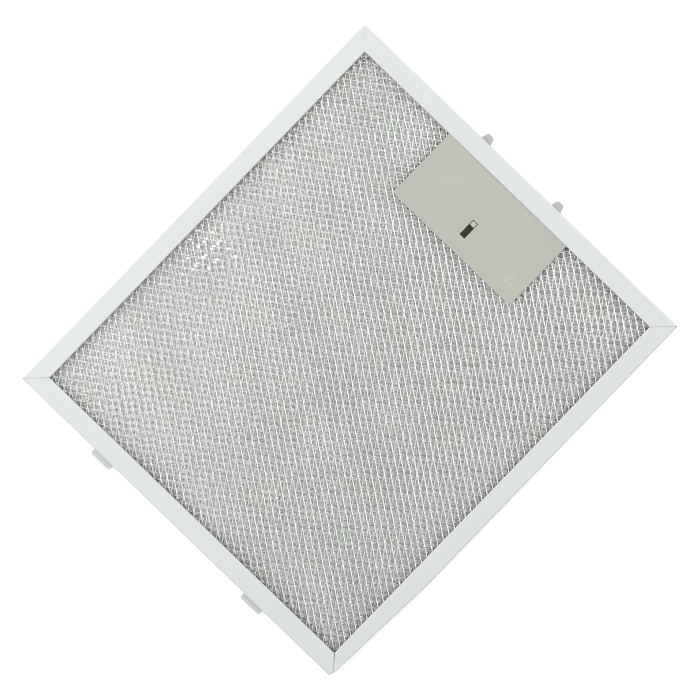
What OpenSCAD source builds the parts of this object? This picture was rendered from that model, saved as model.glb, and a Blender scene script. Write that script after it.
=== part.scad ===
// Cooker hood grease filter: an aluminium channel frame round a pad of expanded mesh, with a sprung latch.
// X runs towards the latch, Y along the short sides, and Z up to the front face, which looks at the hob.
// The origin is the centre of the back face. Sizes are in millimetres.

/* [Frame] */
// Outer length of the frame, from the tab side to the latch side
frame_length = 305; // [240:1:500]
// Outer width of the frame
frame_width = 269.5; // [190:0.5:400]
// Thickness of the whole filter
frame_depth = 9; // [8:0.5:14]
// Thickness of the aluminium strip
strip_t = 0.5; // [0.3:0.1:0.6]
// Width of a lip, from the outer face to its turned-in edge
lip_width = 12.4; // [9:0.2:20]
// Outside radius of the long bends between the wall and the lips
bend_r = 1.2; // [0.8:0.1:1.4]
// Outside radius of the turned-in edge of a lip
curl_r = 0.8; // [0.7:0.1:1.2]
// Outside radius of the folded corners
corner_r = 1; // [0.5:0.1:1.2]
// Gap between two lips along a mitre
mitre_gap = 0.25; // [0.1:0.05:0.5]

/* [Locating tabs] */
// Distance between the centres of the two tabs
tab_spacing = 129; // [60:1:160]
// Width of a tab
tab_width = 16; // [8:0.5:24]
// How far a tab stands out of the frame
tab_out = 4.1; // [2:0.1:4.5]
// Radius of a tab's outer corners
tab_corner_r = 1.8; // [0.5:0.1:3]
// Height of the fold line of a tab over the back face
tab_fold_z = 2.2; // [2:0.1:2.6]
// Inside radius of the fold of a tab
tab_fold_r = 0.4; // [0.3:0.1:0.8]
// Width of the kerf that the lancing tool leaves round a tab
tab_kerf = 0.3; // [0.2:0.1:0.6]

/* [Mesh] */
// Long way of one diamond cell, from knot to knot
cell_long = 7.05; // [5:0.05:12]
// Short way of one diamond cell
cell_short = 4.85; // [3:0.05:9]
// Width of a strand at its foot
strand_foot = 0.9; // [0.5:0.1:1.4]
// Width of a strand at its crest
strand_crest = 0.5; // [0.2:0.1:0.8]
// Thickness of the wall between the strands of a sheet
web_t = 0.3; // [0.2:0.05:0.5]
// Number of filter layers between the two outer sheets
layer_count = 3; // [1:1:4]
// Gap between the crests of neighbouring sheets
layer_gap = 0.05; // [0.02:0.01:0.2]
// Gap between the edge of a sheet and the wall of the frame
pad_gap = 1; // [0.5:0.1:3]
// Number of cells that an open gap takes up each way
gap_cell_count = 2; // [1:1:3]
// Width of the wall that is left between a strand and an open gap
gap_rim = 0.05; // [0.05:0.05:0.3]
// Cells from one open gap to the next along the frame's length
gap_steps_short = 6; // [4:1:12]
// Cells from one open gap to the next along the frame's width
gap_steps_long = 4; // [4:1:12]

/* [Latch cover] */
// Width of the latch along the frame's side
latch_width = 101; // [90:1:120]
// How far the cover shows past the edge of the lip
latch_reach = 48; // [44:1:60]
// Radius of the two free corners of the cover
latch_corner_r = 4; // [1:0.5:8]
// Thickness of the cover
cover_t = 1.2; // [1:0.1:1.6]
// Width of the rim of the cover and the housing that laps over the mesh
flange_w = 4; // [3:0.5:6]
// Length of the slot that the nub slides in
slot_length = 12.3; // [11:0.1:16]
// Width of the slot
slot_width = 4.2; // [3:0.1:6]
// Distance from the frame's outer face to the centre of the slot
slot_inset = 46.5; // [45:0.5:48]
// Size of the moulded arrow mark, from its middle to a tip
mark_r = 4.9; // [4:0.1:6]
// Width of the lines of the mark
mark_line = 0.5; // [0.3:0.1:0.8]
// How far the mark stands proud of the cover
mark_rise = 0.2; // [0.1:0.1:0.4]
// Distance from the free end of the cover to the middle of the mark
mark_end_inset = 8.7; // [8:0.1:14]
// Distance from the side of the cover to the middle of the mark
mark_side_inset = 9.6; // [8:0.1:14]

/* [Latch slider] */
// Distance between the centres of the two tongues
tongue_spacing = 60.2; // [54:0.2:64]
// Width of a tongue at the frame
tongue_width = 7.6; // [5:0.2:9]
// How far a tongue stands out of the frame at rest
tongue_out = 5; // [3:0.1:6]
// Radius of a tongue's outer corners
tongue_tip_r = 1.9; // [1:0.1:2.4]
// Angle by which each side of a tongue tapers
tongue_taper = 14; // [5:1:20]
// Thickness of a tongue at its tip, below which its hood side is a ramp
tongue_tip_t = 1.1; // [0.6:0.1:2]
// Thickness of the slider
slider_t = 2.4; // [2:0.1:2.8]
// Width of the bar that joins the two tongues
bar_width = 6; // [4:0.5:8]
// How far the slider can be drawn back
latch_travel = 6; // [5:0.1:7]
// Length of the nub along the slot
nub_length = 3.1; // [2:0.1:4]
// How far the top of the nub lies below the face of the cover
nub_sink = 0.1; // [0:0.1:0.8]
// Width of the arm that carries the nub
nub_arm_width = 9; // [7:0.5:12]
// How far the arm reaches past the nub
nub_heel = 1.5; // [0.5:0.1:2]

/* [Latch housing] */
// Thickness of the housing's floor
floor_t = 1; // [0.8:0.1:1.2]
// Thickness of the housing's walls and guide ribs
wall_t = 1.2; // [0.8:0.1:1.6]
// Diameter of the four bosses that hold the cover's pins
boss_d = 5.6; // [5:0.2:7]
// Diameter of the pins of the cover
pin_d = 2.4; // [2:0.1:3]
// Length of the pins of the cover
pin_length = 3.4; // [2:0.1:4]
// Gap round a pin in its bore
pin_gap = 0.05; // [0.02:0.01:0.1]
// Gap on each side of the slider in its guides
slide_gap = 0.3; // [0.2:0.05:0.5]
// Gap under the slider, at its stops and at the ends of the springs
seat_gap = 0.1; // [0.05:0.05:0.3]

/* [Springs] */
// Outside diameter of a spring
spring_d = 3.6; // [3:0.1:3.9]
// Diameter of its wire
wire_d = 0.45; // [0.3:0.05:0.6]
// Number of turns
spring_turns = 8; // [5:1:12]
// Distance between the centres of the two springs
spring_spacing = 34; // [26:1:38]
// Diameter of the pegs that hold a spring's ends
peg_d = 2.2; // [1.6:0.1:2.2]
// Length of the pegs
peg_length = 3; // [2:0.5:4]

/* [Hidden] */
$fn = 48;
layer_names = [for (i = [1:layer_count]) str("filter_layer_", i)];

frame_colour = [0.86, 0.88, 0.87];
mesh_colour = [0.74, 0.75, 0.74];
layer_colour = [0.62, 0.63, 0.62];
cover_colour = [0.76, 0.76, 0.71];
slider_colour = [0.84, 0.84, 0.80];
spring_colour = [0.55, 0.56, 0.58];

// Far enough past a face for a cut to go clean through it
past = 1;

// The pad fills the channel between the turned-in edges of the lips, less the cover on the front
fit = 0.1;
edge_x = frame_length / 2;
edge_y = frame_width / 2;
pad_low = curl_r;
pad_high = frame_depth - curl_r - fit - cover_t;
pad_length = frame_length - 2 * (strip_t + pad_gap);
pad_width = frame_width - 2 * (strip_t + pad_gap);
sheet_count = layer_count + 2;
sheet_pitch = (pad_high - pad_low) / sheet_count;
sheet_t = sheet_pitch - layer_gap;

// Strands cross at this angle to the long way of the cell, this far apart
strand_angle = atan(cell_short / cell_long);
strand_pitch = cell_long * sin(strand_angle);

// The latch reaches from the lapping rim of the cover to the wall of the frame
cover_low = pad_high;
cover_high = pad_high + cover_t;
cover_x = edge_x - lip_width - latch_reach;
latch_end = edge_x - strip_t - slide_gap;
body_x = cover_x + flange_w;
body_half = latch_width / 2 - flange_w;
body_corner_r = max(latch_corner_r - flange_w, 0) + wall_t;
housing_low = curl_r + fit / 2;
floor_top = housing_low + floor_t;

// The slider runs half way between the floor and the cover
slider_mid = (floor_top + cover_low) / 2;
slider_low = slider_mid - slider_t / 2;
slider_high = slider_mid + slider_t / 2;
rail_top = slider_low - seat_gap;
rib_top = slider_high;

slot_x = edge_x - slot_inset;
nub_end = slot_x + slot_length / 2 - slide_gap;
nub_width = slot_width - 2 * slide_gap;
nub_arm_x = nub_end - nub_length - nub_heel;
bar_x = slot_x + slot_length / 2 + latch_travel;
bar_end = bar_x + bar_width;
guide_y = tongue_width / 2 + slide_gap;
bar_half = tongue_spacing / 2 + guide_y + wall_t;
boss_y = body_half - wall_t - boss_d / 2 + fit;
boss_xs = [body_x + wall_t + boss_d / 2 - fit, latch_end - wall_t - boss_d / 2 + fit];

spring_seat = body_x + wall_t;
spring_length = bar_x - spring_seat - 2 * seat_gap;
wire_sides = 6;
wire_steps = 12;

// A ring's quarter, one strip thick, which spans the first quadrant
module quarter_bend(r) {
    intersection() {
        difference() {
            circle(r);
            circle(r - strip_t);
        }
        square(r + past);
    }
}

// Half of the channel's section: x runs in from the outer face, y up from the back face
module half_section() {
    translate([0, bend_r])
        square([strip_t, frame_depth / 2 - bend_r]);
    translate([bend_r, bend_r])
        rotate(180)
            quarter_bend(bend_r);
    translate([bend_r, 0])
        square([lip_width - bend_r - curl_r, strip_t]);
    translate([lip_width - curl_r, curl_r])
        rotate(270)
            quarter_bend(curl_r);
}

module channel_section() {
    half_section();
    translate([0, frame_depth])
        mirror([0, 1])
            half_section();
}

// One side of the frame, cut to its mitres: turn is 0 for the latch side
module channel_side(turn) {
    across = turn % 180 == 0 ? edge_x : edge_y;
    half_run = turn % 180 == 0 ? edge_y : edge_x;
    depth_in = lip_width + past;
    rotate(turn)
        translate([across, 0, 0])
            intersection() {
                rotate([90, 0, 0])
                    mirror([1, 0, 0])
                        linear_extrude(2 * half_run, center = true)
                            channel_section();
                linear_extrude(frame_depth)
                    polygon([
                        [0, half_run], [0, -half_run],
                        [-depth_in, depth_in - half_run], [-depth_in, half_run - depth_in]
                    ]);
            }
}

// What a vertical edge loses when it is rounded: the corner lies along +X and +Y
module edge_waste(r, height) {
    difference() {
        cube([r + past, r + past, height]);
        translate([0, 0, -past])
            cylinder(r = r, h = height + 2 * past);
    }
}

// Puts a thing made for the corner along +X and +Y at any of the four corners
module at_corner(side_x, side_y) {
    mirror([side_x < 0 ? 1 : 0, 0, 0])
        mirror([0, side_y < 0 ? 1 : 0, 0])
            translate([edge_x - corner_r, edge_y - corner_r, 0])
                children();
}

// The fold of the wall between two sides, still square on the outside
module corner_fold() {
    translate([0, 0, bend_r])
        linear_extrude(frame_depth - 2 * bend_r)
            difference() {
                square(corner_r);
                circle(corner_r - strip_t);
            }
}

// The cuts at one corner: the rounding of the fold, and on each face the hairline between the two lips
module corner_cuts() {
    edge_waste(corner_r, frame_depth);
    for (low = [-past, frame_depth - bend_r])
        translate([corner_r, corner_r, low])
            rotate(225)
                translate([0, -mitre_gap / 2, 0])
                    cube([2 * lip_width, mitre_gap, bend_r + past]);
}

// The two ends of the strip meet at one corner, so the hairline goes through the wall there
module seam_cut() {
    translate([-edge_x, -edge_y, -past])
        rotate(45)
            translate([-past, -mitre_gap / 2, 0])
                cube([2 * lip_width, mitre_gap, frame_depth + 2 * past]);
}

module tongue_window(side) {
    width = tongue_width + 2 * slide_gap;
    height = slider_t + 2 * slide_gap;
    translate([edge_x - strip_t - past, side * tongue_spacing / 2 - width / 2, slider_mid - height / 2])
        cube([strip_t + 2 * past, width, height]);
}

// The opening that a tab leaves in the wall that it was lanced from
module tab_window(side) {
    width = tab_width + 2 * tab_kerf;
    developed = tab_out - tab_fold_r + (tab_fold_r + strip_t / 2) * PI / 2;
    height = min(developed + tab_kerf, frame_depth - bend_r - tab_fold_z);
    translate([-edge_x - past, side * tab_spacing / 2 - width / 2, tab_fold_z])
        cube([strip_t + 2 * past, width, height]);
}

// A flap of the wall, folded out flat round a small bend, with rounded outer corners
module locating_tab(side) {
    tip = edge_x + tab_out;
    translate([0, side * tab_spacing / 2, 0])
        difference() {
            translate([-edge_x - tab_fold_r, 0, tab_fold_z])
                rotate([90, 0, 0])
                    linear_extrude(tab_width, center = true) {
                        intersection() {
                            difference() {
                                circle(tab_fold_r + strip_t);
                                circle(tab_fold_r);
                            }
                            square(tab_fold_r + strip_t + past);
                        }
                        translate([tab_fold_r, -strip_t])
                            square(strip_t);
                        translate([tab_fold_r - tab_out, tab_fold_r])
                            square([tab_out - tab_fold_r, strip_t]);
                    }
            for (end = [0, 1])
                mirror([0, end, 0])
                    mirror([1, 0, 0])
                        translate([tip - tab_corner_r, tab_width / 2 - tab_corner_r, 0])
                            edge_waste(tab_corner_r, frame_depth);
        }
}

module frame() {
    color(frame_colour) {
        difference() {
            union() {
                for (turn = [0:90:270])
                    channel_side(turn);
                for (side_x = [-1, 1], side_y = [-1, 1])
                    at_corner(side_x, side_y)
                        corner_fold();
            }
            for (side_x = [-1, 1], side_y = [-1, 1])
                at_corner(side_x, side_y)
                    corner_cuts();
            seam_cut();
            for (side = [-1, 1]) {
                tongue_window(side);
                tab_window(side);
            }
        }
        for (side = [-1, 1])
            locating_tab(side);
    }
}

// A wall with parallel strands standing on it, all at strand_angle to +Y, cut to size
module strand_side(size_x, size_y) {
    reach = (size_x * cos(strand_angle) + size_y * sin(strand_angle)) / 2;
    run = size_x + size_y;
    last = floor(reach / strand_pitch);
    intersection() {
        rotate(strand_angle)
            rotate([90, 0, 0])
                linear_extrude(run, center = true)
                    polygon(concat(
                        [[reach + past, -web_t / 2], [-reach - past, -web_t / 2], [-reach - past, web_t / 2]],
                        [for (k = [-last:last]) each [
                            [k * strand_pitch - strand_foot / 2, web_t / 2],
                            [k * strand_pitch - strand_crest / 2, sheet_t / 2],
                            [k * strand_pitch + strand_crest / 2, sheet_t / 2],
                            [k * strand_pitch + strand_foot / 2, web_t / 2]
                        ]],
                        [[reach + past, web_t / 2]]
                    ));
        translate([-size_x / 2, -size_y / 2, -sheet_t])
            cube([size_x, size_y, 2 * sheet_t]);
    }
}

// The centres of the gaps: they line up through all the sheets, and keep clear of the lips and the latch
function gap_places(notch_x, notch_y) =
    let (
        half_x = gap_cell_count * cell_short / 2,
        half_y = gap_cell_count * cell_long / 2,
        step_x = gap_steps_short * cell_short,
        step_y = gap_steps_long * cell_long,
        last_x = floor((edge_x - lip_width - half_x) / step_x),
        last_y = floor((edge_y - lip_width - half_y) / step_y),
        shift = gap_cell_count % 2 * cell_long / 2,
        web = cell_short / 2
    )
    [
        for (i = [-last_x:last_x], j = [-last_y:last_y])
            let (x = i * step_x, y = j * step_y + shift)
            if (x + half_x + web < notch_x || abs(y) - half_y - web > notch_y)
                [x, y]
    ];

// A diamond gap between strands
module gap_outline() {
    open = (gap_cell_count - (strand_foot + 2 * gap_rim) / strand_pitch) / 2;
    polygon([
        [open * cell_short, 0], [0, open * cell_long], [-open * cell_short, 0], [0, -open * cell_long]
    ]);
}

// A sheet of expanded mesh about its own middle: strands cross on its two faces, round the open gaps.
// The cells run the long way along +Y, or along +X when the sheet is turned. The latch is clear of it.
module expanded_sheet(turned, notch_rim) {
    size_x = turned ? pad_width : pad_length;
    size_y = turned ? pad_length : pad_width;
    notch_x = body_x - notch_rim - slide_gap;
    notch_y = body_half + notch_rim + slide_gap;
    difference() {
        rotate(turned ? 90 : 0) {
            strand_side(size_x, size_y);
            mirror([0, 0, 1])
                mirror([1, 0, 0])
                    strand_side(size_x, size_y);
        }
        for (place = gap_places(notch_x, notch_y))
            translate([place[0], place[1], -sheet_t])
                linear_extrude(2 * sheet_t)
                    gap_outline();
        translate([notch_x, -notch_y, -sheet_t])
            cube([pad_length, 2 * notch_y, 2 * sheet_t]);
    }
}

function sheet_middle(index) = pad_low + (index + 0.5) * sheet_pitch;

module front_mesh() {
    color(mesh_colour)
        translate([0, 0, sheet_middle(sheet_count - 1)])
            expanded_sheet(false, 0);
}

// The inner layers lie crosswise on one another
module filter_layer(index) {
    color(layer_colour)
        translate([0, 0, sheet_middle(index)])
            expanded_sheet((sheet_count - 1 - index) % 2 == 1, 0);
}

// The rim of the housing lies in the plane of this sheet, so its notch is wider
module back_mesh() {
    color(mesh_colour)
        translate([0, 0, sheet_middle(0)])
            expanded_sheet(false, flange_w);
}

// The outline that the cover and the housing's floor share: square at the frame, rounded at the free end
module latch_outline(start, half, r) {
    translate([start + r, -half])
        square([latch_end - start - r, 2 * half]);
    translate([start, r - half])
        square([r, 2 * (half - r)]);
    for (side = [-1, 1])
        translate([start + r, side * (half - r)])
            circle(r);
}

// A plain mark that points at the frame: one triangle inside another
module arrow_mark() {
    translate([cover_x + mark_end_inset, mark_side_inset - latch_width / 2, cover_high - cover_t / 2])
        linear_extrude(cover_t / 2 + mark_rise)
            for (r = [mark_r, mark_r / 2])
                difference() {
                    circle(r, $fn = 3);
                    circle(r - 2 * mark_line, $fn = 3);
                }
}

module latch_cover() {
    color(cover_colour) {
        arrow_mark();
        difference() {
            translate([0, 0, cover_low])
                linear_extrude(cover_t)
                    latch_outline(cover_x, latch_width / 2, latch_corner_r);
            translate([slot_x - slot_length / 2, -slot_width / 2, cover_low - past])
                cube([slot_length, slot_width, cover_t + 2 * past]);
        }
        for (x = boss_xs, side = [-1, 1])
            translate([x, side * boss_y, cover_low - pin_length])
                cylinder(d = pin_d, h = pin_length + cover_t / 2);
    }
}

// A rib that stands on the housing's floor and runs along X
module rib(x_start, x_end, y, top) {
    translate([x_start, y - wall_t / 2, housing_low])
        cube([x_end - x_start, wall_t, top - housing_low]);
}

module housing_shell() {
    translate([0, 0, housing_low])
        linear_extrude(floor_t)
            latch_outline(cover_x, latch_width / 2, latch_corner_r);
    translate([0, 0, housing_low])
        linear_extrude(cover_low - housing_low)
            difference() {
                latch_outline(body_x, body_half, body_corner_r);
                translate([body_x + wall_t, wall_t - body_half])
                    square([latch_end - body_x - 2 * wall_t, 2 * (body_half - wall_t)]);
            }
}

module latch_housing() {
    color(cover_colour)
        difference() {
            union() {
                housing_shell();
                for (x = boss_xs, side = [-1, 1])
                    translate([x, side * boss_y, housing_low])
                        cylinder(d = boss_d, h = cover_low - housing_low);
                for (side = [-1, 1]) {
                    tongue_y = side * tongue_spacing / 2;
                    for (edge = [-1, 1])
                        rib(bar_end + seat_gap, latch_end, tongue_y + edge * (guide_y + wall_t / 2), rib_top);
                    rib(bar_x - latch_travel, latch_end, tongue_y, rail_top);
                    rib(body_x, bar_x, side * (nub_arm_width - wall_t) / 2, rail_top);
                    translate([body_x, side * spring_spacing / 2, slider_mid])
                        rotate([0, 90, 0])
                            cylinder(d = peg_d, h = wall_t + peg_length);
                }
            }
            for (x = boss_xs, side = [-1, 1])
                translate([x, side * boss_y, cover_low - pin_length - seat_gap])
                    cylinder(d = pin_d + 2 * pin_gap, h = pin_length + seat_gap + past);
            for (side = [-1, 1])
                translate([latch_end - wall_t - past, side * tongue_spacing / 2 - guide_y, rail_top])
                    cube([wall_t + 2 * past, 2 * guide_y, cover_low]);
        }
}

// A tongue seen from above: it tapers from the frame's face to an end with two round corners
module tongue_outline() {
    tip_x = edge_x + tongue_out - tongue_tip_r;
    run = tongue_out - tongue_tip_r;
    half = tongue_width / 2;
    tip_y = half - (tongue_tip_r + run * sin(tongue_taper)) / cos(tongue_taper);
    touch = tongue_tip_r * [sin(tongue_taper), cos(tongue_taper)];
    polygon([
        [bar_x, half], [edge_x, half], [tip_x + touch[0], tip_y + touch[1]],
        [tip_x + touch[0], -tip_y - touch[1]], [edge_x, -half], [bar_x, -half]
    ]);
    for (side = [-1, 1])
        translate([tip_x, side * tip_y])
            circle(tongue_tip_r);
    translate([tip_x, -tip_y])
        square([tongue_tip_r, 2 * tip_y]);
}

// The hood side of a tongue is a ramp, so that the filter snaps in when it is pushed up
module tongue_ramp() {
    rise = slider_t - tongue_tip_t;
    translate([edge_x + tongue_out, 0, slider_low + rise])
        rotate([0, -atan(rise / tongue_out), 0])
            translate([-3 * tongue_out, -tongue_width, -2 * slider_t])
                cube([4 * tongue_out, 2 * tongue_width, 2 * slider_t]);
}

module latch_slider() {
    nub_top = cover_high - nub_sink;
    groove = nub_length / 4;
    color(slider_colour) {
        for (side = [-1, 1]) {
            translate([0, side * tongue_spacing / 2, 0])
                difference() {
                    translate([0, 0, slider_low])
                        linear_extrude(slider_t)
                            tongue_outline();
                    intersection() {
                        tongue_ramp();
                        translate([edge_x, -tongue_width, 0])
                            cube([2 * tongue_out, 2 * tongue_width, frame_depth]);
                    }
                }
            translate([bar_x - peg_length, side * spring_spacing / 2, slider_mid])
                rotate([0, 90, 0])
                    cylinder(d = peg_d, h = peg_length + past);
        }
        translate([bar_x, -bar_half, slider_low])
            cube([bar_width, 2 * bar_half, slider_t]);
        translate([nub_arm_x, -nub_arm_width / 2, slider_low])
            cube([bar_x + past - nub_arm_x, nub_arm_width, slider_t]);
        difference() {
            translate([nub_end - nub_length, -nub_width / 2, slider_low])
                cube([nub_length, nub_width, nub_top - slider_low]);
            translate([nub_end - (nub_length + groove) / 2, -nub_width, nub_top - groove / 2])
                cube([groove, 2 * nub_width, groove]);
        }
    }
}

// A coil spring along X: the wire's ring of corners at each step of the turn
function wire_ring(step, steps) =
    let (
        turn = 360 * step / wire_steps,
        coil_r = (spring_d - wire_d) / 2,
        rise = (spring_length - wire_d) / spring_turns / 360,
        slope = atan(rise * 180 / PI / coil_r),
        out = [0, cos(turn), sin(turn)],
        side = [cos(slope), sin(slope) * sin(turn), -sin(slope) * cos(turn)],
        middle = [wire_d / 2 + rise * turn, 0, 0] + coil_r * out
    )
    [for (k = [0:wire_sides - 1])
        middle + wire_d / 2 * (cos(360 * k / wire_sides) * out + sin(360 * k / wire_sides) * side)];

module latch_spring(side) {
    steps = spring_turns * wire_steps;
    corners = [for (step = [0:steps]) each wire_ring(step, steps)];
    skin = [for (step = [0:steps - 1], k = [0:wire_sides - 1])
        let (a = step * wire_sides, b = a + wire_sides, next = (k + 1) % wire_sides)
        each [[a + k, a + next, b + k], [a + next, b + next, b + k]]];
    first_end = [[for (k = [0:wire_sides - 1]) wire_sides - 1 - k]];
    last_end = [[for (k = [0:wire_sides - 1]) steps * wire_sides + k]];
    color(spring_colour)
        translate([spring_seat + seat_gap, side * spring_spacing / 2, slider_mid])
            polyhedron(corners, concat(skin, first_end, last_end));
}

frame();
front_mesh();
for (i = [1:layer_count])
    filter_layer(sheet_count - 1 - i);
back_mesh();
latch_cover();
latch_housing();
latch_slider();
latch_spring(1);  // latch_spring_left
latch_spring(-1);  // latch_spring_right
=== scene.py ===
"""Looks for the cooker hood grease filter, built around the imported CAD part.

X runs towards the latch, Y along the short sides and Z up to the front face. The photograph looks
straight down at the front, turned so that the latch points up and to the right.
"""

import math

import bmesh
import bpy
import numpy as np
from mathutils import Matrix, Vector


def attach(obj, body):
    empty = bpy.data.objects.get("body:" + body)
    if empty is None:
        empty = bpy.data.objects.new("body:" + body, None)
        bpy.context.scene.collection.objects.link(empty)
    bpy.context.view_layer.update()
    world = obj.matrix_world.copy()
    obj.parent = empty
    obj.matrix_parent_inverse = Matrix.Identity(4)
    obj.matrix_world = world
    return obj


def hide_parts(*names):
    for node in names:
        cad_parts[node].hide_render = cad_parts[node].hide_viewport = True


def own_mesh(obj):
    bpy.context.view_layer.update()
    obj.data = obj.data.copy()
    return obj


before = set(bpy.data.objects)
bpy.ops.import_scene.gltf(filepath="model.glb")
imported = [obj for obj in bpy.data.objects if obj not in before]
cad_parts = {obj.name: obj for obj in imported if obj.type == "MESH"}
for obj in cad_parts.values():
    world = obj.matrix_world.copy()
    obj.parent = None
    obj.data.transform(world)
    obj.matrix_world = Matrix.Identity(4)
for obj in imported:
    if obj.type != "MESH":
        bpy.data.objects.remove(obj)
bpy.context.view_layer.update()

MM = 0.001

# Sizes of the CAD part, in millimetres
EDGE_X, EDGE_Y, DEPTH = 152.5, 134.75, 9.0
LIP_WIDTH = 12.4
MITRE_GAP = 0.125
COVER_X, BODY_X = 92.1, 96.1
COVER_HALF, BODY_HALF = 50.5, 46.5
COVER_TOP, COVER_CORNER = 8.1, 4.0
NUB_ARM_X, NUB_X, NUB_FOOT = 107.25, 110.3, 6.9
PAD_LOW, SHEET_PITCH = 0.8, 1.22
CELL_LONG, CELL_SHORT = 7.05, 4.85
SPRING_START, SPRING_LENGTH, SPRING_Y, SPRING_Z = 97.4, 20.65, 17.0, 4.375
SPRING_D, WIRE_D, SPRING_TURNS = 3.6, 0.45, 8

# How far the photograph has the cover's free edges from those of the solid
COVER_END_SHIFT, COVER_LEFT_SHIFT, COVER_RIGHT_SHIFT = -2.6, -0.7, -0.25

# The photograph: how far the part is turned, the metres that the picture spans and from how high, and
# the place that its centre looks at, in millimetres
VIEW_TURN = math.radians(45.97)
FIELD, CAMERA_HEIGHT = 0.4326, 1.5
CAMERA_X, CAMERA_Y = 1.24, 0.90


def from_view(right, up):
    """A place in the part's frame from how far right and up it is in the photograph."""
    c, s = math.cos(VIEW_TURN), math.sin(VIEW_TURN)
    return right * c + up * s, up * c - right * s


def to_view(x, y):
    """How far right and up in the photograph a place in the part's frame is."""
    c, s = math.cos(VIEW_TURN), math.sin(VIEW_TURN)
    return x * c - y * s, x * s + y * c


def link(obj):
    bpy.context.scene.collection.objects.link(obj)
    return obj


# Camera and light

camera_data = bpy.data.cameras.new("camera")
camera_data.sensor_width = 36
camera_data.lens = 36 * CAMERA_HEIGHT / FIELD
camera_data.clip_start, camera_data.clip_end = 0.01, 20
camera = link(bpy.data.objects.new("camera", camera_data))
camera.location = (CAMERA_X * MM, CAMERA_Y * MM, DEPTH * MM + CAMERA_HEIGHT)
camera.rotation_euler = (0, 0, -VIEW_TURN)
bpy.context.scene.camera = camera


def softbox(name, right, up, height, width, length, power):
    """An area light aimed at the part's middle, placed in metres by the photograph's right and up."""
    data = bpy.data.lights.new(name, "AREA")
    data.shape = "RECTANGLE"
    data.size, data.size_y, data.energy = width, length, power
    light = link(bpy.data.objects.new(name, data))
    light.location = (*from_view(right, up), height)
    light.rotation_euler = (-light.location).to_track_quat("-Z", "Y").to_euler()


softbox("light_left", -1.3, 0.32, 1.05, 1.8, 2.0, 23.5)
softbox("light_right", 1.3, 0.32, 1.05, 1.8, 2.0, 13.8)
softbox("light_top", 0.0, 1.35, 1.15, 2.2, 1.6, 7.4)
softbox("light_over", 0.0, -0.1, 2.2, 2.0, 2.0, 6.6)

world = bpy.data.worlds.new("studio")
bpy.context.scene.world = world
world.use_nodes = True
world.node_tree.nodes["Background"].inputs["Color"].default_value = (1.0, 1.0, 1.0, 1)
world.node_tree.nodes["Background"].inputs["Strength"].default_value = 0.5
bpy.context.scene.view_settings.view_transform = "Standard"
bpy.context.scene.view_settings.look = "None"
bpy.context.scene.view_settings.exposure = -0.2
bpy.context.scene.cycles.max_bounces = 20
bpy.context.scene.cycles.glossy_bounces = 14
bpy.context.scene.cycles.diffuse_bounces = 10
bpy.context.scene.cycles.filter_width = 1.0


# Materials

NOISE_ROUGHNESS = 0.55
# Nearly all of a noise's values lie between these two
NOISE_LOW, NOISE_HIGH = 0.3, 0.7


class Nodes:
    """A material's nodes, made one after another and wired by name."""

    def __init__(self, name, colour, metallic, roughness):
        self.material = bpy.data.materials.new(name)
        self.material.use_nodes = True
        self.tree = self.material.node_tree
        self.shader = self.tree.nodes["Principled BSDF"]
        self.shader.inputs["Base Color"].default_value = (*colour, 1)
        self.shader.inputs["Metallic"].default_value = metallic
        self.shader.inputs["Roughness"].default_value = roughness
        self.on_object = self.coordinates("Object", (1, 1, 1))

    def add(self, kind):
        return self.tree.nodes.new("ShaderNode" + kind)

    def wire(self, source, output, target, name):
        self.tree.links.new(source.outputs[output], target.inputs[name])

    def coordinates(self, kind, scale):
        mapping = self.add("Mapping")
        mapping.inputs["Scale"].default_value = scale
        self.wire(self.add("TexCoord"), kind, mapping, "Vector")
        return mapping

    def noise(self, scale, detail, place=None):
        node = self.add("TexNoise")
        node.inputs["Scale"].default_value = scale
        node.inputs["Detail"].default_value = detail
        node.inputs["Roughness"].default_value = NOISE_ROUGHNESS
        self.wire(place or self.on_object, "Vector", node, "Vector")
        return node

    def spread(self, source, low, high):
        """Maps a noise's usual range on to the range from low to high."""
        node = self.add("MapRange")
        ends = {"From Min": NOISE_LOW, "From Max": NOISE_HIGH, "To Min": low, "To Max": high}
        for name, value in ends.items():
            node.inputs[name].default_value = value
        self.wire(source, 0, node, "Value")
        return node

    def ramp(self, source, *stops):
        node = self.add("ValToRGB")
        elements = node.color_ramp.elements
        while len(elements) < len(stops):
            elements.new(0.5)
        for element, (place, colour) in zip(elements, stops):
            element.position = place
            element.color = (*colour, 1)
        self.wire(source, 0, node, "Fac")
        return node

    def multiply(self, first, second):
        """The product of two ramps. The colour sockets of a Mix node are reached by number."""
        node = self.add("Mix")
        node.data_type, node.blend_type = "RGBA", "MULTIPLY"
        node.inputs["Factor"].default_value = 1.0
        self.wire(first, "Color", node, 6)
        self.wire(second, "Color", node, 7)
        return node

    def bump(self, source, strength, distance, under=None):
        node = self.add("Bump")
        node.inputs["Strength"].default_value = strength
        node.inputs["Distance"].default_value = distance
        self.wire(source, 0, node, "Height")
        if under is not None:
            self.wire(under, "Normal", node, "Normal")
        return node

    def finish(self, colour, roughness=None, normal=None):
        self.wire(colour, "Color" if "Color" in colour.outputs else 2, self.shader, "Base Color")
        if roughness is not None:
            self.wire(roughness, "Result", self.shader, "Roughness")
        if normal is not None:
            self.wire(normal, "Normal", self.shader, "Normal")
        return self.material


def tinted(colour, by):
    return tuple(min(c * b, 1) for c, b in zip(colour, by))


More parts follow.
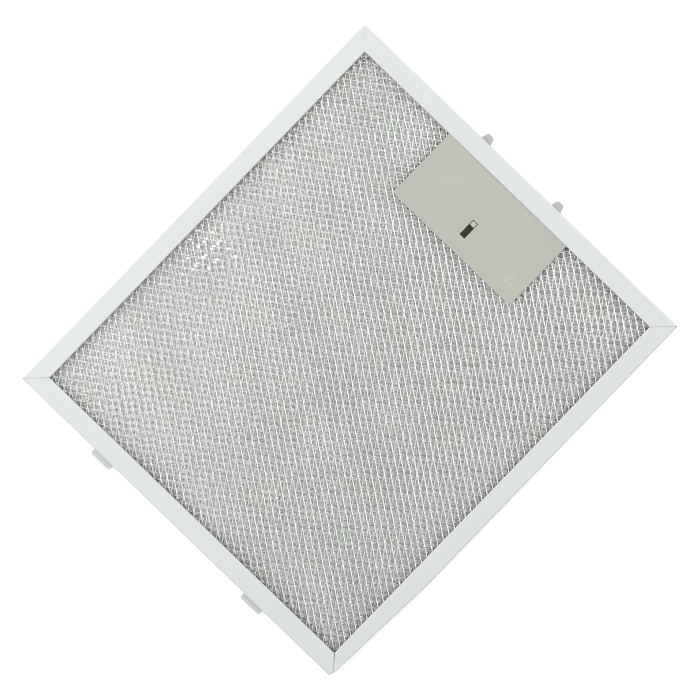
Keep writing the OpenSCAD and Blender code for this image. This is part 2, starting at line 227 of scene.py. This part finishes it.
def rolled_aluminium():
    """Satin strip: fine rolling lines along each side, faint smears and handling marks."""
    colour = (0.684, 0.708, 0.704)
    m = Nodes("rolled_aluminium", colour, 0.28, 0.58)
    lines = m.noise(1.0, 2.0, m.coordinates("UV", (60, 9000, 1)))
    smears = m.noise(34.0, 4.0)
    specks = m.noise(900.0, 2.0)
    base = m.ramp(smears, (0.35, tinted(colour, (0.985, 0.985, 0.985))), (0.65, colour))
    rough = m.spread(smears, 0.56, 0.62)
    low = m.bump(specks, 0.06, 0.00003)
    return m.finish(base, rough, m.bump(lines, 0.25, 0.00004, low))


def mesh_aluminium(name, colour, roughness, metallic=0.72):
    """Expanded foil: each strand a little different, with very faint green, violet and warm patches."""
    m = Nodes(name, colour, metallic, roughness)
    patches = m.noise(45.0, 3.0)
    grain = m.noise(700.0, 2.0)
    glints = m.noise(1000.0, 1.0)
    green, violet = (0.97, 1.0, 0.97), (1.0, 0.988, 0.992)
    plain, warm = (1.0, 1.0, 1.0), (1.0, 0.992, 0.955)
    tint = m.ramp(patches, (0.32, green), (0.45, violet), (0.56, plain), (0.68, warm))
    shade = m.ramp(glints, (0.38, tinted(colour, (0.82, 0.82, 0.82))), (0.56, colour))
    rough = m.spread(grain, roughness - 0.07, roughness + 0.1)
    return m.finish(m.multiply(tint, shade), rough, m.bump(grain, 0.3, 0.00006))


def moulded_plastic(name, colour, roughness=0.5):
    """Warm grey plastic with a fine eroded grain and slow changes of tone."""
    m = Nodes(name, colour, 0.0, roughness)
    tone = m.noise(26.0, 2.0)
    grain = m.noise(2600.0, 3.0)
    dark, light = tinted(colour, (0.985, 0.985, 1.0)), tinted(colour, (1.015, 1.015, 0.99))
    base = m.ramp(tone, (0.35, dark), (0.65, light))
    rough = m.spread(grain, roughness - 0.05, roughness + 0.08)
    return m.finish(base, rough, m.bump(grain, 0.25, 0.00005))


def spring_steel():
    colour = (0.62, 0.63, 0.65)
    m = Nodes("drawn_steel", colour, 1.0, 0.28)
    grain = m.noise(1500.0, 2.0)
    base = m.ramp(grain, (0.4, tinted(colour, (0.9, 0.9, 0.9))), (0.6, colour))
    return m.finish(base, m.spread(grain, 0.22, 0.38), m.bump(grain, 0.2, 0.00003))


def studio_floor():
    """Pale paper that glows a little, so that the part leaves no hard shadow on it."""
    m = Nodes("studio_floor", (0.93, 0.93, 0.93), 0.0, 0.8)
    m.shader.inputs["Emission Color"].default_value = (1, 1, 1, 1)
    m.shader.inputs["Emission Strength"].default_value = 0.3
    tone = m.noise(3.0, 2.0)
    return m.finish(m.ramp(tone, (0.3, (0.925, 0.925, 0.925)), (0.7, (0.935, 0.935, 0.935))))


FRAME_METAL = rolled_aluminium()
MESH_METAL = mesh_aluminium("mesh_aluminium", (0.965, 0.97, 0.962), 0.42)
# The deeper sheets' foil in a darker copy: partly a duller foil, partly painted shade where little light
# reaches deep into the pad
SHADED_LAYER_METAL = mesh_aluminium("layer_aluminium_painted_shade", (0.76, 0.76, 0.755), 0.42)
COVER_PLASTIC = moulded_plastic("cover_plastic", (0.447, 0.456, 0.402))
MARK_PLASTIC = moulded_plastic("mark_plastic", (0.57, 0.58, 0.52))
HOUSING_PLASTIC = moulded_plastic("housing_plastic", (0.125, 0.13, 0.088))
# A lighter copy of the slider's plastic for the nub's top: painted light
NUB_PAINTED_LIGHT_PLASTIC = moulded_plastic("nub_plastic_painted_light", (0.56, 0.57, 0.535))
SLIDER_PLASTIC = moulded_plastic("slider_plastic", (0.46, 0.47, 0.44))
# Near-white and mostly matt, so that the pressed knots show as white spots from every side: a painted
# highlight in place of the foil's glint
PAINTED_HIGHLIGHT_METAL = mesh_aluminium("pressed_aluminium_painted_highlight", (1.0, 1.0, 0.995), 0.35, 0.2)
SPRING_METAL = spring_steel()

FLOOR_HALF, FLOOR_DROP = 4, 0.0002
floor_mesh = bpy.data.meshes.new("floor")
floor_corners = [(a * FLOOR_HALF, b * FLOOR_HALF, 0) for a, b in ((-1, -1), (1, -1), (1, 1), (-1, 1))]
floor_mesh.from_pydata(floor_corners, [], [(0, 1, 2, 3)])
floor_mesh.materials.append(studio_floor())
floor = link(bpy.data.objects.new("floor", floor_mesh))
floor.location.z = -FLOOR_DROP


# Pieces

def piece(name, mesh, material, body, slot, *nodes):
    """Puts a mesh into the scene as the piece that stands for those CAD nodes."""
    mesh.materials.clear()
    mesh.materials.append(material)
    obj = link(bpy.data.objects.new(name, mesh))
    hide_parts(*nodes)
    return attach(obj, body)


def retone(mesh, height, material):
    """Gives the faces above a height, in millimetres, a second material."""
    mesh.materials.append(material)
    for polygon in mesh.polygons:
        if polygon.center.z > height * MM:
            polygon.material_index = 1


def mesh_from(name, corners, quads):
    """A mesh from arrays of corners, in millimetres, and quads."""
    mesh = bpy.data.meshes.new(name)
    mesh.vertices.add(len(corners))
    mesh.vertices.foreach_set("co", (np.asarray(corners, float) * MM).astype(np.float32).ravel())
    mesh.loops.add(4 * len(quads))
    mesh.loops.foreach_set("vertex_index", np.asarray(quads, np.int32).ravel())
    mesh.polygons.add(len(quads))
    mesh.polygons.foreach_set("loop_start", np.arange(0, 4 * len(quads), 4, dtype=np.int32))
    mesh.polygons.foreach_set("use_smooth", np.zeros(len(quads), bool))
    mesh.update(calc_edges=True)
    mesh.validate()
    return mesh


def slow_field(seed, wavelength):
    """A smooth field over x and y, in millimetres, that stays within about -1 and 1."""
    waves = 7
    rng = np.random.default_rng(seed)
    angle = rng.uniform(0, 2 * np.pi, waves)
    pitch = 2 * np.pi / (wavelength * rng.uniform(0.7, 1.5, waves))
    phase = rng.uniform(0, 2 * np.pi, waves)

    def field(x, y):
        total = np.zeros(np.broadcast(x, y).shape)
        for a, p, f in zip(angle, pitch, phase):
            total += np.sin(p * (x * np.cos(a) + y * np.sin(a)) + f)
        return total * (1.2 / math.sqrt(waves))

    return field


# Expanded sheets: bands of foil run in zigzags side by side and meet at the knots, in millimetres

BAND_PITCH = CELL_SHORT / 2
KNOT_LENGTH = 0.9
FOIL = 0.22
UNDER_LIP = 4.5
# How far a band strays slowly in the sheet and out of it, and how far each of its corners strays
DRIFT, LIFT, STRAY = 0.16, 0.1, 0.03
SLOPE_STRAY = 2.4
# Below this slope, in degrees, the strands get narrower, by up to this share when they lie flat
FLAT_SLOPE, FLAT_NARROWING = 22, 0.46
# In the outer sheets, the strands of one direction are this share as wide as those of the other
CROSS_STRANDS = 0.72
# From the lips and from the latch, how far the pinched zone reaches
LIP_PINCH, LATCH_PINCH = 22, 16
# Distance from the photograph's middle over which the strands change their slope
PAD_REACH = 130
# The patch of pressed knots: its middle in the photograph and how far it spreads, how dense it is and
# at how many times its spread it ends, and the sizes of a pressed knot
SPOTS_RIGHT, SPOTS_UP, SPOTS_WIDE, SPOTS_HIGH = -86, 62.5, 16, 12
SPOTS_SHARE, SPOTS_FADE = 0.7, 1.3
SPOT_LIFT, SPOT_THICK, SPOT_STRAY, SPOT_SLANT = 0.1, 0.3, 0.3, 0.08
BODY_NOTCH = (BODY_X - 0.3, BODY_HALF + 0.3)
COVER_NOTCH = (COVER_X - 0.3, COVER_HALF + 0.3)


def crown(x, y):
    """How far the pad swells: 0 where the lips and the latch pinch it, and 1 between them."""
    to_lip = np.minimum(EDGE_X - LIP_WIDTH - np.abs(x), EDGE_Y - LIP_WIDTH - np.abs(y))
    to_latch = np.maximum(COVER_X + COVER_END_SHIFT - x, np.abs(y) - COVER_HALF)
    near = np.clip(np.minimum(to_lip / LIP_PINCH, to_latch / LATCH_PINCH), 0, 1)
    return near * near * (3 - 2 * near)


def expanded_sheet(seed, z_mid, turned, outer, notch, tilt, width, swell):
    """The corners and quads of all the bands of one sheet. Tilt gives the slope of the strands at a
    place, in degrees. A strand of an outer sheet has one more ring of corners, halfway along it."""
    rng = np.random.default_rng(seed)
    half_x = EDGE_X - LIP_WIDTH + UNDER_LIP
    half_y = EDGE_Y - LIP_WIDTH + UNDER_LIP
    half_u, half_v = (half_y, half_x) if turned else (half_x, half_y)
    drift_u, drift_v = slow_field(seed + 1, 70), slow_field(seed + 2, 60)
    lift = slow_field(seed + 3, 45)
    shift_u, shift_v = rng.uniform(0, CELL_SHORT), rng.uniform(0, CELL_LONG)
    corners, quads, count = [], [], 0
    last_band = int(half_u / BAND_PITCH) + 2
    last_knot = int(half_v / CELL_LONG * 2) + 4
    for k in range(-last_band, last_band + 1):
        m = np.arange(-last_knot, last_knot + 1)
        sign = np.where((k + m) % 2 == 0, 1.0, -1.0)
        knot = m * CELL_LONG / 2 + shift_v
        rings = [(knot - KNOT_LENGTH / 2, sign), (knot + KNOT_LENGTH / 2, sign)]
        if outer:
            rings.append((knot + CELL_LONG / 4, np.zeros(len(m))))
        v, s = (np.stack(values, 1).ravel() for values in zip(*rings))
        u = np.full(len(v), k * BAND_PITCH + shift_u)
        x, y = (-v, u) if turned else (u, v)
        slope = np.radians(tilt(x, y) + rng.normal(0, SLOPE_STRAY, len(v)))
        aside = (BAND_PITCH - width * np.cos(slope)) / 2
        u = u + s * aside + DRIFT * drift_u(x, y) + rng.normal(0, STRAY, len(v))
        v = v + DRIFT * drift_v(x, y)
        z = z_mid - s * width / 2 * np.sin(slope) + LIFT * lift(x, y) + rng.normal(0, STRAY, len(v))
        x, y = (-v, u) if turned else (u, v)
        z = z + swell * crown(x, y)
        wide = width * (1 - FLAT_NARROWING * np.clip(1 - np.degrees(slope) / FLAT_SLOPE, 0, 1))
        if outer:
            wide = np.where((s == 0) & (np.roll(s, 1) > 0), CROSS_STRANDS * wide, wide)
        in_notch = (x > notch[0]) & (np.abs(y) < notch[1])
        keep = (np.abs(x) < half_x) & (np.abs(y) < half_y) & ~in_notch
        none = np.zeros(len(v))
        across = np.stack([np.cos(slope), none, np.sin(slope)], 1) * (wide / 2)[:, None]
        up = np.stack([-np.sin(slope), none, np.cos(slope)], 1) * (FOIL / 2)
        centre = np.stack([u, v, z], 1)
        left, right = centre - across, centre + across
        ring = np.stack([left - up, right - up, right + up, left + up], 1)
        if turned:
            ring = np.stack([-ring[..., 1], ring[..., 0], ring[..., 2]], -1)
        ends = np.flatnonzero(np.diff(np.concatenate([[0], keep, [0]])))
        for start, end in zip(ends[::2], ends[1::2]):
            n = end - start
            if n < 4:
                continue
            corners.append(ring[start:end].reshape(-1, 3))
            i = count + 4 * np.arange(n - 1)[:, None]
            for a, b in ((0, 1), (1, 2), (2, 3), (3, 0)):
                quads.append(np.concatenate([i + b, i + a, i + 4 + a, i + 4 + b], 1))
            quads.append(np.stack([count + np.arange(4), count + 4 * n - 1 - np.arange(4)]))
            count += 4 * n
    return np.concatenate(corners), np.concatenate(quads)


def pressed_spots(z_mid, swell):
    """Knots that something has pressed flat, in a patch towards the photograph's left. Each is an
    eight-sided plate; their near-white, mostly matt material is a painted highlight."""
    rng = np.random.default_rng(31)
    corners, quads = [], []
    half_outline = [(-1, -0.35), (-0.45, -1), (0.45, -1), (1, -0.35)]
    outline = np.array(half_outline + [(-a, -b) for a, b in half_outline])
    for k in range(-40, 41):
        for m in range(-40, 41):
            x, y = (k + 0.5) * BAND_PITCH, (m + k % 2) * CELL_LONG
            right, up = to_view(x, y)
            away = math.hypot((right - SPOTS_RIGHT) / SPOTS_WIDE, (up - SPOTS_UP) / SPOTS_HIGH)
            if rng.random() > SPOTS_SHARE * (SPOTS_FADE - away):
                continue
            shape = outline * [rng.uniform(0.9, 1.4), rng.uniform(0.55, 0.9)]
            shape_x, shape_y = from_view(shape[:, 0], shape[:, 1])
            at_x = x + rng.uniform(-SPOT_STRAY, SPOT_STRAY) + shape_x
            at_y = y + rng.uniform(-SPOT_STRAY, SPOT_STRAY) + shape_y
            z = z_mid + swell * float(crown(x, y)) + SPOT_LIFT + shape @ rng.normal(0, SPOT_SLANT, 2)
            start = 16 * len(corners)
            faces = [np.stack([at_x, at_y, z + rise], 1) for rise in (0, SPOT_THICK)]
            corners.append(np.concatenate(faces))
            for first, turn in ((start, -1), (start + 8, 1)):
                for i in range(3):
                    quads.append([first + j for j in (7 - i, i, i + 1, 6 - i)[::turn]])
            for i in range(8):
                j = (i + 1) % 8
                quads.append([start + i, start + j, start + 8 + j, start + 8 + i])
    return np.concatenate(corners), np.array(quads)


tilt_field = slow_field(5, 60)


def front_tilt(x, y):
    """Steep strands in most of the pad, flatter ones towards the photograph's left corner."""
    right, up = to_view(x, y)
    steep = np.clip((0.5 * right - 0.35 * up + 90) / 110, 0, 1)
    return 1 + 20 * steep - 6 * np.clip(right / PAD_REACH, 0, 1) + 1.4 * tilt_field(x, y)


def second_tilt(x, y):
    """Strands that get flatter towards the photograph's right corner."""
    right, _ = to_view(x, y)
    return 31 - 10 * np.clip(right / PAD_REACH, 0, 1) + 1.8 * tilt_field(y, x)


def layer_tilt(x, y):
    """Strands that get steeper, and so darker, from the photograph's left to its right."""
    right, up = to_view(x, y)
    return 31 + 13 * np.clip((0.8 * right - 0.15 * up) / PAD_REACH, -1, 1) + 1.8 * tilt_field(y, x)


# Node, slope, material, width of the strands and swell of each sheet, from the front to the back
SHEETS = (
    ("front_mesh", front_tilt, MESH_METAL, 0.60, 0.8),
    ("filter_layer_1", second_tilt, MESH_METAL, 0.70, 0.6),
    ("filter_layer_2", layer_tilt, SHADED_LAYER_METAL, 1.3, 0.35),
    ("filter_layer_3", layer_tilt, SHADED_LAYER_METAL, 1.4, 0.1),
    ("back_mesh", second_tilt, MESH_METAL, 0.95, -0.3),
)
for index, (node, tilt, material, width, swell) in enumerate(SHEETS):
    z_mid = PAD_LOW + (len(SHEETS) - index - 0.5) * SHEET_PITCH
    turned, outer = index % 2 == 1, node in ("front_mesh", "back_mesh")
    notch = COVER_NOTCH if node == "back_mesh" else BODY_NOTCH
    corners, quads = expanded_sheet(100 + 10 * index, z_mid, turned, outer, notch, tilt, width, swell)
    bands = len(quads)
    if node == "front_mesh":
        more_corners, more_quads = pressed_spots(z_mid, swell)
        quads = np.concatenate([quads, more_quads + len(corners)])
        corners = np.concatenate([corners, more_corners])
    mesh = mesh_from(node + "_strands", corners, quads)
    slot = "mesh_metal" if outer else "layer_metal"
    piece(node + "_strands", mesh, material, "filter", slot, node)
    # The pressed knots take the near-white material: a painted highlight
    if len(quads) > bands:
        mesh.materials.append(PAINTED_HIGHLIGHT_METAL)
        mesh.polygons.foreach_set("material_index", (np.arange(len(quads)) >= bands).astype(np.int32))


# Softened copies of CAD nodes

FLAT_ANGLE, SHARP_ANGLE = math.radians(0.5), math.radians(28)
JOIN_DISTANCE = 0.002
FRAME_BEVEL, COVER_BEVEL, HOUSING_BEVEL, SLIDER_BEVEL = 0.12, 0.45, 0.15, 0.2
# How wide the bevel of a mark is, as a share of its piece's
MARK_BEVEL = 0.12


def cad_copy(node):
    """A clean bmesh of a CAD node: corners joined, flat faces whole."""
    bm = bmesh.new()
    bm.from_mesh(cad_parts[node].data)
    bmesh.ops.remove_doubles(bm, verts=bm.verts, dist=JOIN_DISTANCE * MM)
    bmesh.ops.dissolve_limit(bm, angle_limit=FLAT_ANGLE, verts=bm.verts, edges=bm.edges)
    return bm


def softened(name, bm, width, segments=2, proud=math.inf):
    """A mesh whose sharp edges are rounded by a narrow bevel, with even shading on its flats. A mark
    that stands proud of a height, in millimetres, gets a much narrower one."""
    weight = bm.edges.layers.float.new("bevel_weight_edge")
    marked = {edge for vert in bm.verts if vert.co.z > proud * MM for edge in vert.link_edges}
    walls = [face for face in bm.faces if marked & set(face.edges) and abs(face.normal.z) < 0.5]
    marked |= {edge for face in walls for edge in face.edges}
    for edge in bm.edges:
        if edge.is_manifold and edge.calc_face_angle() > SHARP_ANGLE:
            edge[weight] = MARK_BEVEL if edge in marked else 1.0
    raw = bpy.data.meshes.new(name)
    bm.to_mesh(raw)
    bm.free()
    obj = link(bpy.data.objects.new(name + "_raw", raw))
    bevel = obj.modifiers.new("bevel", "BEVEL")
    bevel.width, bevel.segments = width * MM, segments
    bevel.limit_method = "WEIGHT"
    bevel.use_clamp_overlap = True
    bevel.miter_outer = "MITER_ARC"
    even = obj.modifiers.new("even", "WEIGHTED_NORMAL")
    even.keep_sharp = False
    for polygon in raw.polygons:
        polygon.use_smooth = True
    made = bpy.data.meshes.new_from_object(obj.evaluated_get(bpy.context.evaluated_depsgraph_get()))
    bpy.data.objects.remove(obj)
    made.name = name
    return made


# The frame, in millimetres: the dressing that the photograph shows on it

CUT_PITCH = 14
NEAR_CUTS = np.array([0.3, 0.8, 1.4, 2.1, 2.8, 3.6])
DENT_X, DENT_Y, DENT_DEPTH, DENT_SPREAD = 150.7, 115.5, 0.22, 0.7
WAVE_HEIGHT = 0.05
TIGHT_MITRE, OPEN_MITRE = 0.02, 0.22
TOP_ROUND, SEAM_ROUND = 2.4, 3.2
SEAM_LAP = 2.9
TAPER, TAPER_START = 4.1, 72


def cut_across(bm, axis, places):
    """Cuts every face along planes, so that the flats can bend."""
    normal = Vector((1, 0, 0)) if axis == 0 else Vector((0, 1, 0))
    for place in places:
        whole = bm.verts[:] + bm.edges[:] + bm.faces[:]
        bmesh.ops.bisect_plane(bm, geom=whole, dist=1e-7, plane_co=normal * place * MM, plane_no=normal)


def mitred(x, y, side, gap):
    """Opens or shuts the mitre of the lips at +X +Y or at -X -Y: only its two edges lie this far off the
    diagonal."""
    in_x, in_y = EDGE_X - side * x, EDGE_Y - side * y
    if in_x + in_y < 2.5 * LIP_WIDTH and 0.1 < abs(in_x - in_y) < 0.25:
        closer = (1 - gap / MITRE_GAP) * (in_x - in_y) / 2
        return x + side * closer, y - side * closer
    return x, y


def lapped(x, y):
    """Slants the seam at -X -Y, where the strip's two ends meet, so that one laps over the other."""
    in_x, in_y = EDGE_X + x, EDGE_Y + y
    if in_x + in_y < 2 * LIP_WIDTH:
        reach = 8 if in_x > in_y else 1
        lap = SEAM_LAP * max(1 - abs(in_x - in_y) / reach, 0)
        x += lap * (1 - (in_x + in_y) / (2 * LIP_WIDTH))
        y -= in_y * max(1 - abs(in_x - in_y) / 1.5, 0) * max(1 - in_y / 1.2, 0)
    return x, y


def rounded_corner(x, y, side, radius):
    """Draws the square corner at +X +Y or at -X -Y in to a round one: the fold of the solids is nearly
    square there."""
    a, b = radius - EDGE_X + side * x, radius - EDGE_Y + side * y
    if a <= 0 or b <= 0:
        return x, y
    drawn = (a ** 8 + b ** 8) ** 0.125 / math.hypot(a, b)
    return side * (EDGE_X - radius + a * drawn), side * (EDGE_Y - radius + b * drawn)


def tapered(x, y):
    """Draws the outer edge of the long side at -Y in towards its end at -X."""
    if y + EDGE_Y < LIP_WIDTH:
        taper = TAPER * min(max((-x - TAPER_START) / (EDGE_X - TAPER_START), 0), 1)
        y += taper * (1 - max(y + EDGE_Y, 0) / LIP_WIDTH)
    return x, y


def frame_piece():
    """The folded strip, a little wavy, with UVs that run along each side for the rolling lines."""
    bm = cad_copy("frame")
    dent_x, dent_y = DENT_X + 0.5 * np.arange(-3, 2), DENT_Y + 0.5 * np.arange(-3, 4)
    for axis, edge, last, dent in ((0, EDGE_X, 126, dent_x), (1, EDGE_Y, 112, dent_y)):
        even = np.arange(-last, last + 1, CUT_PITCH)
        cut_across(bm, axis, [*even, *(NEAR_CUTS - edge), *(edge - NEAR_CUTS), *dent])
    wave = slow_field(23, 60)
    for vert in bm.verts:
        x, y, z = (c / MM for c in vert.co)
        if abs(z - DEPTH / 2) > 3:
            z += WAVE_HEIGHT * float(wave(x, y))
        if z > DEPTH / 2:
            z -= DENT_DEPTH * math.exp(-((x - DENT_X) ** 2 + (y - DENT_Y) ** 2) / DENT_SPREAD)
        x, y = mitred(x, y, 1, TIGHT_MITRE)
        x, y = mitred(x, y, -1, OPEN_MITRE)
        x, y = lapped(x, y)
        x, y = rounded_corner(x, y, 1, TOP_ROUND)
        x, y = rounded_corner(x, y, -1, SEAM_ROUND)
        x, y = tapered(x, y)
        vert.co = Vector((x, y, z)) * MM
    mesh = softened("frame_strip", bm, FRAME_BEVEL)
    strip = mesh.uv_layers.new(name="strip")
    for polygon in mesh.polygons:
        cx, cy, _ = (c / MM for c in polygon.center)
        on_x = abs(cx) - EDGE_X > abs(cy) - EDGE_Y
        for loop in polygon.loop_indices:
            x, y, z = mesh.vertices[mesh.loops[loop].vertex_index].co
            along, out = (y, abs(x)) if on_x else (x, abs(y))
            strip.data[loop].uv = (along, out - z)
    piece("frame_strip", mesh, FRAME_METAL, "filter", "frame_metal", "frame")


# The latch: how far the nub's heel is drawn in, in millimetres, the share by which its head narrows,
# and how much the turns of the springs crowd at their ends

NUB_HEEL, NUB_DRAFT = 1.2, 0.12
END_TURNS = 0.15


def cover_piece():
    """The cover with its free edges where the photograph has them, and its mark in a lighter tone."""
    bm = cad_copy("latch_cover")
    end, side = COVER_X + COVER_CORNER + 0.1, COVER_HALF - COVER_CORNER - 0.1
    for vert in bm.verts:
        if vert.co.x < end * MM:
            vert.co.x += COVER_END_SHIFT * MM
        if abs(vert.co.y) > side * MM:
            vert.co.y += (COVER_LEFT_SHIFT if vert.co.y > 0 else COVER_RIGHT_SHIFT) * MM
    mesh = softened("cover_plate", bm, COVER_BEVEL, segments=3, proud=COVER_TOP + 0.05)
    piece("cover_plate", mesh, COVER_PLASTIC, "filter", "latch_plastic", "latch_cover")
    retone(mesh, COVER_TOP + 0.03, MARK_PLASTIC)


def housing_piece():
    mesh = softened("housing_tray", cad_copy("latch_housing"), HOUSING_BEVEL)
    piece("housing_tray", mesh, HOUSING_PLASTIC, "filter", "latch_plastic", "latch_housing")


def slider_piece():
    """The slider with a drafted nub, whose arm keeps its heel out of the slot. The nub's top takes a
    lighter copy of the slider's plastic: painted light where the nub catches more light than the arm.
    """
    bm = cad_copy("latch_slider")
    for vert in bm.verts:
        if vert.co.x < (NUB_ARM_X + 0.05) * MM:
            vert.co.x += NUB_HEEL * MM
        if vert.co.z > NUB_FOOT * MM:
            vert.co.y *= 1 - NUB_DRAFT
            vert.co.x += NUB_DRAFT * (NUB_X * MM - vert.co.x)
    mesh = softened("slider_bar", bm, SLIDER_BEVEL)
    piece("slider_bar", mesh, SLIDER_PLASTIC, "slider", "slider_plastic", "latch_slider")
    # The nub's top gets the lighter copy of the slider's plastic: painted light
    retone(mesh, NUB_FOOT, NUB_PAINTED_LIGHT_PLASTIC)


def spring_piece(name, node, side):
    """A round wire coil with closed end turns."""
    steps_per_turn, around = 24, 10
    turns = np.linspace(0, SPRING_TURNS, SPRING_TURNS * steps_per_turn + 1)
    share = turns / SPRING_TURNS
    along = WIRE_D / 2 + (SPRING_LENGTH - WIRE_D) * (0.5 - 0.5 * np.cos(np.pi * share)) * END_TURNS
    along = along + (SPRING_LENGTH - WIRE_D) * share * (1 - END_TURNS)
    radius = (SPRING_D - WIRE_D) / 2
    a = 2 * np.pi * turns
    centre = np.stack([along, radius * np.cos(a), radius * np.sin(a)], 1)
    out = np.stack([np.zeros(len(a)), np.cos(a), np.sin(a)], 1)
    tangent = np.gradient(centre, axis=0)
    tangent /= np.linalg.norm(tangent, axis=1)[:, None]
    aside = np.cross(tangent, out)
    b = 2 * np.pi * np.arange(around) / around
    rings = centre[:, None] + WIRE_D / 2 * (
        np.cos(b)[None, :, None] * out[:, None] + np.sin(b)[None, :, None] * aside[:, None]
    )
    corners = rings.reshape(-1, 3) + [SPRING_START, side * SPRING_Y, SPRING_Z]
    bm = bmesh.new()
    verts = [bm.verts.new(Vector(c) * MM) for c in corners]
    for step in range(len(a) - 1):
        for k in range(around):
            i, j = step * around + k, step * around + (k + 1) % around
            bm.faces.new((verts[i], verts[j], verts[j + around], verts[i + around]))
    bm.faces.new(verts[:around])
    bm.faces.new(verts[:-around - 1:-1])
    bmesh.ops.recalc_face_normals(bm, faces=bm.faces)
    mesh = bpy.data.meshes.new(name)
    bm.to_mesh(mesh)
    bm.free()
    for polygon in mesh.polygons:
        polygon.use_smooth = len(polygon.vertices) == 4
    obj = piece(name, mesh, SPRING_METAL, "filter", "spring_steel", node)
    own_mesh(obj)


frame_piece()
cover_piece()
housing_piece()
slider_piece()
spring_piece("spring_coil_left", "latch_spring_left", 1)
spring_piece("spring_coil_right", "latch_spring_right", -1)
